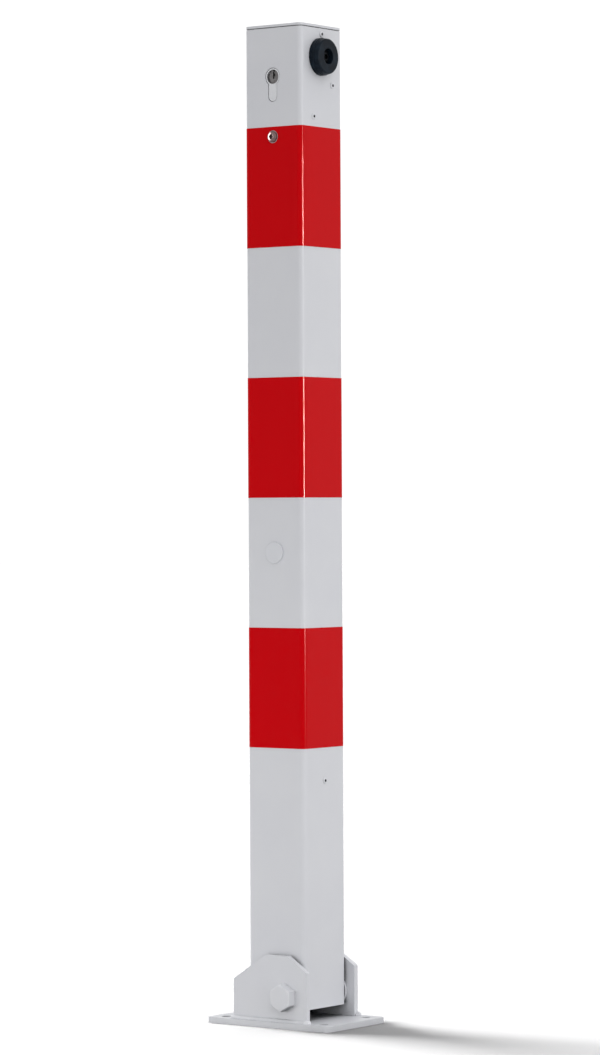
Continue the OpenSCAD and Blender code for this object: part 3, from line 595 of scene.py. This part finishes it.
# %% [markdown]
# ## Helpers for added pieces
# Five short helpers. One makes an object from points and faces. Two open and close a
# Geometry Nodes tree. One runs such a tree on an object and keeps the result as a
# plain mesh, because the export drops live modifiers' instances. The last gives a
# piece its material and its body.

# %% Piece helpers
def mesh_object(name, points, edges=(), faces=()):
    """An object at the origin with its place in its mesh."""
    mesh = bpy.data.meshes.new(name)
    mesh.from_pydata([tuple(p) for p in points], list(edges), list(faces))
    mesh.validate()
    made = bpy.data.objects.new(name, mesh)
    bpy.context.scene.collection.objects.link(made)
    return made


def new_recipe(name, sizes):
    """A Geometry Nodes tree with a geometry socket, a float for each size and a material."""
    tree = bpy.data.node_groups.new(name, "GeometryNodeTree")
    face = tree.interface
    face.new_socket("Geometry", in_out="INPUT", socket_type="NodeSocketGeometry")
    for size in sizes:
        face.new_socket(size, in_out="INPUT", socket_type="NodeSocketFloat")
    face.new_socket("Material", in_out="INPUT", socket_type="NodeSocketMaterial")
    face.new_socket("Geometry", in_out="OUTPUT", socket_type="NodeSocketGeometry")
    return tree, put(tree, "NodeGroupInput").outputs


def end_recipe(tree, geometry, material):
    """Closes a tree: instances become real geometry and get the material."""
    real = put(tree, "GeometryNodeRealizeInstances", {0: geometry})
    painted = put(tree, "GeometryNodeSetMaterial", {0: real, "Material": material})
    put(tree, "NodeGroupOutput", {0: painted})


def run_recipe(piece, tree, values):
    """Runs the tree on the piece and keeps what comes out as its plain mesh."""
    modifier = piece.modifiers.new("recipe", "NODES")
    modifier.node_group = tree
    for socket in tree.interface.items_tree:
        if socket.in_out == "INPUT" and socket.name in values:
            modifier[socket.identifier] = values[socket.name]
    shaped = piece.evaluated_get(bpy.context.evaluated_depsgraph_get())
    mesh = bpy.data.meshes.new_from_object(shaped)
    piece.modifiers.remove(modifier)
    piece.data = mesh
    mesh.name = piece.name
    print(piece.name, "has", len(mesh.polygons), "faces")


def mount(piece, body, material=None):
    """Lets a finished piece ride on its body, in its slot's finish."""
    if material is not None:
        piece.data.materials.clear()
        piece.data.materials.append(material)
    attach(piece, body)


# %% [markdown]
# ## Weld beads
# The ears and the keeper block are welded to the plate. A hand weld is a row of
# overlapping ripples, each a frozen pool of metal, that ends in a round blob. A path
# runs along each joint and round its ends, Curve to Mesh sweeps a circle along it, and
# the circle swells and shrinks once per ripple. Half of the bead lies inside the steel
# on either side, as a real one does. A noise of about 4 mm moves its skin a little.
# The paths stand half a millimetre off the steel and stop short of the ears' inner
# faces and of the keeper block's far end.

# %% A helper for paths
CORNER_R = 2.0 * MM


def path_with_round_corners(points, radius, steps=4):
    """A polyline whose inner corners are rounded."""
    rounded = [Vector(points[0])]
    for before, here, after in zip(points, points[1:], points[2:]):
        a, b, c = Vector(before), Vector(here), Vector(after)
        start, stop = b + (a - b).normalized() * radius, b + (c - b).normalized() * radius
        for i in range(steps + 1):
            t = i / steps
            rounded.append((1 - t) ** 2 * start + 2 * t * (1 - t) * b + t ** 2 * stop)
    rounded.append(Vector(points[-1]))
    return rounded


elbow = path_with_round_corners([(0, 0, 0), (0.01, 0, 0), (0.01, 0.01, 0)], CORNER_R)
print("a path with one round corner has", len(elbow), "points")

# %% Paths of the welds
WELD_OFF = 0.5 * MM
INNER_START = 1.2 * MM
KEEPER_OFF = 0.4 * MM
KEEPER_BACK = 4 * MM

plate_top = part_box("base_plate")[1].z
weld_z = plate_top + WELD_OFF
weld_paths = []
for ear in ("ear_key_side", "ear_far_side"):
    low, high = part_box(ear)
    outside = low.y if low.y < 0 else high.y
    inside = high.y if low.y < 0 else low.y
    out = math.copysign(1, outside)
    x0, x1 = low.x - WELD_OFF, high.x + WELD_OFF
    y0, y1 = inside + out * INNER_START, outside + out * WELD_OFF
    corners = [(x1, y0, weld_z), (x1, y1, weld_z), (x0, y1, weld_z), (x0, y0, weld_z)]
    weld_paths.append(path_with_round_corners(corners, CORNER_R))
low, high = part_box("keeper_block")
x0, x1 = low.x - KEEPER_OFF, high.x - KEEPER_BACK
y0, y1 = low.y - KEEPER_OFF, high.y + KEEPER_OFF
corners = [(x1, y0, weld_z), (x0, y0, weld_z), (x0, y1, weld_z), (x1, y1, weld_z)]
weld_paths.append(path_with_round_corners(corners, CORNER_R))
lengths = [sum((b - a).length for a, b in zip(path, path[1:])) for path in weld_paths]
print("weld paths:", [round(length / MM) for length in lengths], "mm")

# %% Recipe for a weld bead
BEAD_STEP = 0.4 * MM
BEAD_SIDES = 16
CREST_POWER = 0.6
TIP_SIZE = 0.25
SWELL_REACH = 4.0
WANDER_SCALE = 260.0  # per metre, so one drift about every 4 mm
NOISE_MIDDLE = (0.5, 0.5, 0.5)

tree, given = new_recipe("weld_bead", [
    "Bead radius", "Ripple pitch", "Ripple depth", "End swell", "Wander", "Seed"])
line = put(tree, "GeometryNodeMeshToCurve", {0: given["Geometry"]})
fine = put(tree, "GeometryNodeResampleCurve", {
    "Curve": line, "Length": BEAD_STEP}, mode="LENGTH")
along = put(tree, "GeometryNodeSplineParameter").outputs["Length"]
whole = put(tree, "GeometryNodeSplineLength").outputs["Length"]
turns = put(tree, "ShaderNodeMath", {0: along, 1: given["Ripple pitch"]}, operation="DIVIDE")
ripple = put(tree, "ShaderNodeMath", {0: turns}, operation="FRACT")
crest = put(tree, "ShaderNodeMath", {0: ripple, 1: CREST_POWER}, operation="POWER")
dip = put(tree, "ShaderNodeMath", {0: crest, 1: given["Ripple depth"]}, operation="MULTIPLY")
swell = put(tree, "ShaderNodeMath", {0: 1.0, 1: dip}, operation="SUBTRACT")
rest = put(tree, "ShaderNodeMath", {0: whole, 1: along}, operation="SUBTRACT")
near_end = put(tree, "ShaderNodeMath", {0: along, 1: rest}, operation="MINIMUM")
share = put(tree, "ShaderNodeMath", {
    0: near_end, 1: given["Bead radius"]}, operation="DIVIDE", use_clamp=True)
end_round = put(tree, "ShaderNodeMapRange", {
    0: share, 3: TIP_SIZE, 4: 1.0}, interpolation_type="SMOOTHERSTEP")
far = put(tree, "ShaderNodeMath", {
    0: given["Bead radius"], 1: SWELL_REACH}, operation="MULTIPLY")
into = put(tree, "ShaderNodeMath", {0: near_end, 1: far}, operation="DIVIDE", use_clamp=True)
blob = put(tree, "ShaderNodeMapRange", {
    0: into, 3: given["End swell"], 4: 1.0}, interpolation_type="SMOOTHSTEP")
body = put(tree, "ShaderNodeMath", {0: swell, 1: blob}, operation="MULTIPLY")
size = put(tree, "ShaderNodeMath", {0: body, 1: end_round}, operation="MULTIPLY")
ring = put(tree, "GeometryNodeCurvePrimitiveCircle", {
    "Resolution": BEAD_SIDES, "Radius": given["Bead radius"]})
bead = put(tree, "GeometryNodeCurveToMesh", {
    "Curve": fine, "Profile Curve": ring, "Scale": size, "Fill Caps": True})
noise = put(tree, "ShaderNodeTexNoise", {
    "W": given["Seed"], "Scale": WANDER_SCALE, "Detail": 1.0}, noise_dimensions="4D")
centred = put(tree, "ShaderNodeVectorMath", {
    0: noise.outputs["Color"], 1: NOISE_MIDDLE}, operation="SUBTRACT")
drift = put(tree, "ShaderNodeVectorMath", {
    0: centred, "Scale": given["Wander"]}, operation="SCALE")
uneven = put(tree, "GeometryNodeSetPosition", {0: bead, "Offset": drift})
smooth = put(tree, "GeometryNodeSetShadeSmooth", {0: uneven})
end_recipe(tree, smooth, given["Material"])
print("weld recipe has", len(tree.nodes), "nodes")

# %% Lay the welds
BEAD_R = 3.0 * MM

points, edges = [], []
for path in weld_paths:
    first = len(points)
    points += path
    edges += [(i, i + 1) for i in range(first, len(points) - 1)]
weld_beads = mesh_object("weld_beads", points, edges)
run_recipe(weld_beads, tree, {
    "Bead radius": BEAD_R, "Ripple pitch": 2.1 * MM, "Ripple depth": 0.16,
    "End swell": 1.4, "Wander": 0.9 * MM, "Seed": 3.0, "Material": white_coat})
mount(weld_beads, "base")

# %% [markdown]
# ## Mandrel stubs in the blind rivets
# A blind rivet is set by pulling a steel mandrel until it snaps. Its broken end stays
# in the rivet's eye. Here the stubs get the black oxide finish, darker than a bare
# mandrel, as painted shade for the hollow eye. Four stubs of one shape are instanced
# on four points, which is just what Instance on Points is for, and a noise of about
# 0.7 mm tears their faces.

# %% Recipe for the stubs
TORN_SCALE = 1400.0  # per metre, so one mark about every 0.7 mm

tree, given = new_recipe("mandrel_stubs", ["Stub radius", "Stub height", "Roughness height"])
stub = put(tree, "GeometryNodeMeshCylinder", {
    "Vertices": 20, "Side Segments": 1, "Fill Segments": 3,
    "Radius": given["Stub radius"], "Depth": given["Stub height"]})
upright = put(tree, "GeometryNodeTransform", {
    "Geometry": stub.outputs["Mesh"], "Rotation": (0, math.pi / 2, 0)})
on_eyes = put(tree, "GeometryNodeInstanceOnPoints", {
    "Points": given["Geometry"], "Instance": upright})
real = put(tree, "GeometryNodeRealizeInstances", {0: on_eyes})
noise = put(tree, "ShaderNodeTexNoise", {"Scale": TORN_SCALE, "Detail": 1.0})
centred = put(tree, "ShaderNodeVectorMath", {
    0: noise.outputs["Color"], 1: NOISE_MIDDLE}, operation="SUBTRACT")
torn = put(tree, "ShaderNodeVectorMath", {
    0: centred, "Scale": given["Roughness height"]}, operation="SCALE")
broken = put(tree, "GeometryNodeSetPosition", {0: real, "Offset": torn})
end_recipe(tree, broken, given["Material"])
print("stub recipe has", len(tree.nodes), "nodes")

# %% Place a stub in each rivet
STUB_R = 1.35 * MM
STUB_H = 0.9 * MM
STUB_MIDDLE = 0.80 * MM
TORN_HEIGHT = 0.25 * MM
EYE_DEPTH = 0.4 * MM

eyes = []
for name in ("cap_rivet", "carrier_rivets", "guide_rivet"):
    head = np.array([v.co for v in nodes[name].data.vertices])
    head = head[head[:, 0] > head[:, 0].max() - EYE_DEPTH]
    if name == "carrier_rivets":
        split = head[:, 2].mean()
        groups = [head[head[:, 2] > split], head[head[:, 2] < split]]
    else:
        groups = [head]
    for group in groups:
        middle = (group.min(0) + group.max(0)) / 2
        eyes.append((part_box("post_tube")[1].x + STUB_MIDDLE, middle[1], middle[2]))
mandrel_stubs = mesh_object("mandrel_stubs", eyes)
# The black oxide finish paints the shade of each rivet's eye.
run_recipe(mandrel_stubs, tree, {
    "Stub radius": STUB_R, "Stub height": STUB_H, "Roughness height": TORN_HEIGHT,
    "Material": black_oxide})
mount(mandrel_stubs, "post")
print("stubs at", [[round(v / MM, 1) for v in e] for e in eyes])

# %% [markdown]
# ## Overlap of the film
# Each band is one strip of film wrapped round the post, and its two ends overlap by
# 12 mm on the rear face. The overlap is a thin raised patch with two slightly rounded
# corners on its free end.

# %% Build the film's overlap
LAP_W = 12 * MM
LAP_T = 0.2 * MM
LAP_R = 2.5 * MM
LAP_SIDE = 9 * MM
LAP_SUNK = 0.02 * MM
LAP_TURNS = 6

points, faces = [], []
for name in BANDS:
    low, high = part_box(name)
    y0, y1 = LAP_SIDE, LAP_SIDE + LAP_W
    outline = [(y1, low.z), (y1, high.z)]
    for corner_z, start in ((high.z - LAP_R, 90), (low.z + LAP_R, 180)):
        for i in range(LAP_TURNS + 1):
            angle = math.radians(start + 90 / LAP_TURNS * i)
            corner_y = y0 + LAP_R + LAP_R * math.cos(angle)
            outline.append((corner_y, corner_z + LAP_R * math.sin(angle)))
    count, first = len(outline), len(points)
    points += [(low.x + LAP_SUNK, y, z) for y, z in outline]
    points += [(low.x - LAP_T, y, z) for y, z in outline]
    faces.append(tuple(first + i for i in range(count)))
    faces.append(tuple(first + count + i for i in reversed(range(count))))
    for i in range(count):
        j = (i + 1) % count
        faces.append((first + j, first + i, first + count + i, first + count + j))
film_laps = mesh_object("film_laps", points, (), faces)
tidy = bmesh.new()
tidy.from_mesh(film_laps.data)
bmesh.ops.recalc_face_normals(tidy, faces=tidy.faces)
tidy.to_mesh(film_laps.data)
tidy.free()
mount(film_laps, "post", film_red)
print("film overlaps:", len(film_laps.data.polygons), "faces")

# %% [markdown]
# ## Bolt with a real thread
# The pivot is an M16 bolt, painted with the base, whose thread shows beyond the nut.
# Its thread follows a rule: at each place on the shank the radius depends only on the
# height along the bolt and the angle round it. So a Geometry Nodes tree sweeps a fine
# tube and moves each point in or out by that rule. The head is lofted in mesh code,
# ring by ring, with the curved edges that a turned chamfer cuts into a hexagon, and
# both become one piece that stands in for the plain bolt.

# %% Sizes of the bolt, read from its CAD node
low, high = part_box("pivot_bolt")
AXIS_X, AXIS_Z = (low.x + high.x) / 2, (low.z + high.z) / 2
SHANK_R = 8 * MM
FLATS = 24 * MM
HEAD_TOP = low.y
HEAD_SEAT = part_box("ear_key_side")[0].y
BOLT_END = high.y
THREAD_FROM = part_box("ear_far_side")[1].y - 3 * MM
THREAD_PITCH = 2 * MM
THREAD_DEPTH = 1.15 * MM
END_CHAMFER = 1.4 * MM
INTO_HEAD = 1 * MM
print("bolt from", round(HEAD_TOP / MM, 1), "to", round(BOLT_END / MM, 1), "mm")
print("axis at", round(AXIS_X / MM, 1), round(AXIS_Z / MM, 1))

# %% Recipe for the threaded shank
SHANK_STEP = 0.2 * MM
SHANK_SIDES = 64
ROOT_SHARE, CREST_SHARE = 0.07, 0.44

tree, given = new_recipe("threaded_shank", [
    "Radius", "Pitch", "Depth", "Thread start", "End", "Chamfer"])
line = put(tree, "GeometryNodeMeshToCurve", {0: given["Geometry"]})
fine = put(tree, "GeometryNodeResampleCurve", {
    "Curve": line, "Length": SHANK_STEP}, mode="LENGTH")
ring = put(tree, "GeometryNodeCurvePrimitiveCircle", {
    "Resolution": SHANK_SIDES, "Radius": given["Radius"]})
tube = put(tree, "GeometryNodeCurveToMesh", {
    "Curve": fine, "Profile Curve": ring, "Fill Caps": True})
here = put(tree, "GeometryNodeInputPosition")
from_axis = put(tree, "ShaderNodeVectorMath", {
    0: here, 1: (AXIS_X, 0, AXIS_Z)}, operation="SUBTRACT")
xyz = put(tree, "ShaderNodeSeparateXYZ", {0: from_axis})
angle = put(tree, "ShaderNodeMath", {
    0: xyz.outputs["Z"], 1: xyz.outputs["X"]}, operation="ARCTAN2")
round_share = put(tree, "ShaderNodeMath", {0: angle, 1: 2 * math.pi}, operation="DIVIDE")
climb = put(tree, "ShaderNodeMath", {
    0: xyz.outputs["Y"], 1: given["Pitch"]}, operation="DIVIDE")
phase = put(tree, "ShaderNodeMath", {0: climb, 1: round_share}, operation="ADD")
tooth = put(tree, "ShaderNodeMath", {0: phase, 1: 0.5}, operation="PINGPONG")
flank = put(tree, "ShaderNodeMapRange", {
    0: tooth, 1: ROOT_SHARE, 2: CREST_SHARE, 3: 0.0, 4: 1.0})
past = put(tree, "ShaderNodeMath", {
    0: xyz.outputs["Y"], 1: given["Thread start"]}, operation="SUBTRACT")
runout = put(tree, "ShaderNodeMath", {
    0: past, 1: given["Pitch"]}, operation="DIVIDE", use_clamp=True)
cut_share = put(tree, "ShaderNodeMath", {0: flank, 1: runout}, operation="MULTIPLY")
cut = put(tree, "ShaderNodeMath", {0: cut_share, 1: given["Depth"]}, operation="MULTIPLY")
thread_r = put(tree, "ShaderNodeMath", {0: given["Radius"], 1: cut}, operation="SUBTRACT")
to_end = put(tree, "ShaderNodeMath", {
    0: given["End"], 1: xyz.outputs["Y"]}, operation="SUBTRACT")
tip_r = put(tree, "ShaderNodeMath", {
    0: given["Radius"], 1: given["Chamfer"]}, operation="SUBTRACT")
cone_r = put(tree, "ShaderNodeMath", {0: tip_r, 1: to_end}, operation="ADD")
new_r = put(tree, "ShaderNodeMath", {0: thread_r, 1: cone_r}, operation="MINIMUM")
factor = put(tree, "ShaderNodeMath", {0: new_r, 1: given["Radius"]}, operation="DIVIDE")
flat = put(tree, "ShaderNodeCombineXYZ", {"X": factor, "Y": 1.0, "Z": factor})
drawn_in = put(tree, "ShaderNodeVectorMath", {0: from_axis, 1: flat}, operation="MULTIPLY")
back_out = put(tree, "ShaderNodeVectorMath", {
    0: drawn_in, 1: (AXIS_X, 0, AXIS_Z)}, operation="ADD")
cut_tube = put(tree, "GeometryNodeSetPosition", {0: tube, "Position": back_out})
end_recipe(tree, cut_tube, given["Material"])
print("thread recipe has", len(tree.nodes), "nodes")

# %% Make the shank
axis_line = [(AXIS_X, HEAD_SEAT - INTO_HEAD, AXIS_Z), (AXIS_X, BOLT_END, AXIS_Z)]
pivot_screw = mesh_object("pivot_screw", axis_line, [(0, 1)])
run_recipe(pivot_screw, tree, {
    "Radius": SHANK_R, "Pitch": THREAD_PITCH, "Depth": THREAD_DEPTH,
    "Thread start": THREAD_FROM, "End": BOLT_END, "Chamfer": END_CHAMFER,
    "Material": white_coat})

# %% Shape of the head
HEAD_STEPS = 120
CHAMFER_SHARE = 0.95
CHAMFER_FROM = FLATS / 2 * CHAMFER_SHARE
CHAMFER_SLOPE = math.tan(math.radians(27))
SEAT_SHARE = 0.8
RIM_BREAK = 0.15 * MM
SOFT_DROP = 0.05 * MM
SMOOTH_BELOW = math.radians(25)


def hexagon_radius(angle):
    """Distance from the axis to the hexagon's side at that angle, corners up and down."""
    within = ((angle + math.pi / 6) % (math.pi / 3)) - math.pi / 6
    return FLATS / 2 / math.cos(within)


def head_point(angle, radius, height):
    """A point of the head, height metres above its seat."""
    x, z = AXIS_X + radius * math.cos(angle), AXIS_Z + radius * math.sin(angle)
    return (x, HEAD_SEAT - height, z)


head_height = HEAD_SEAT - HEAD_TOP
print("head is", round(head_height / MM, 2), "mm high and", round(FLATS / MM), "mm across flats")

# %% Loft the head
points, faces = [], []
levels = [
    ("seat", 0.0), ("foot", 0.0), ("side", 0.02), ("side", 0.5),
    ("rim", 1.0), ("soft", 1.0), ("face", 0.97), ("face", 0.5)]
for kind, value in levels:
    for i in range(HEAD_STEPS):
        angle = 2 * math.pi * i / HEAD_STEPS
        side = hexagon_radius(angle)
        drop = max(0.0, side - CHAMFER_FROM) * CHAMFER_SLOPE
        if kind == "seat":
            points.append(head_point(angle, SHANK_R * SEAT_SHARE, 0.0))
        elif kind in ("foot", "side"):
            points.append(head_point(angle, side, value * (head_height - drop)))
        elif kind == "rim":
            points.append(head_point(angle, side - RIM_BREAK, head_height - drop))
        elif kind == "soft":
            points.append(head_point(angle, CHAMFER_FROM, head_height - SOFT_DROP))
        else:
            points.append(head_point(angle, CHAMFER_FROM * value, head_height))
points += [head_point(0, 0, 0.0), head_point(0, 0, head_height)]
bottom, top = len(points) - 2, len(points) - 1
for row in range(len(levels) - 1):
    for i in range(HEAD_STEPS):
        j = (i + 1) % HEAD_STEPS
        a, b = row * HEAD_STEPS, (row + 1) * HEAD_STEPS
        faces.append((a + i, a + j, b + j, b + i))
last = (len(levels) - 1) * HEAD_STEPS
for i in range(HEAD_STEPS):
    j = (i + 1) % HEAD_STEPS
    faces.append((bottom, j, i))
    faces.append((top, last + i, last + j))
print("head:", len(points), "points,", len(faces), "faces")

# %% Join shank and head
both = bmesh.new()
both.from_mesh(pivot_screw.data)
head_mesh = bpy.data.meshes.new("head")
head_mesh.from_pydata(points, [], faces)
both.from_mesh(head_mesh)
bmesh.ops.recalc_face_normals(both, faces=both.faces)
for face in both.faces:
    face.smooth = True
both.to_mesh(pivot_screw.data)
both.free()
mount(pivot_screw, "base", white_coat)
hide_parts("pivot_bolt")
with bpy.context.temp_override(
        object=pivot_screw, active_object=pivot_screw, selected_editable_objects=[pivot_screw]):
    bpy.ops.object.shade_smooth_by_angle(angle=SMOOTH_BELOW)
print("bolt:", len(pivot_screw.data.polygons), "faces")
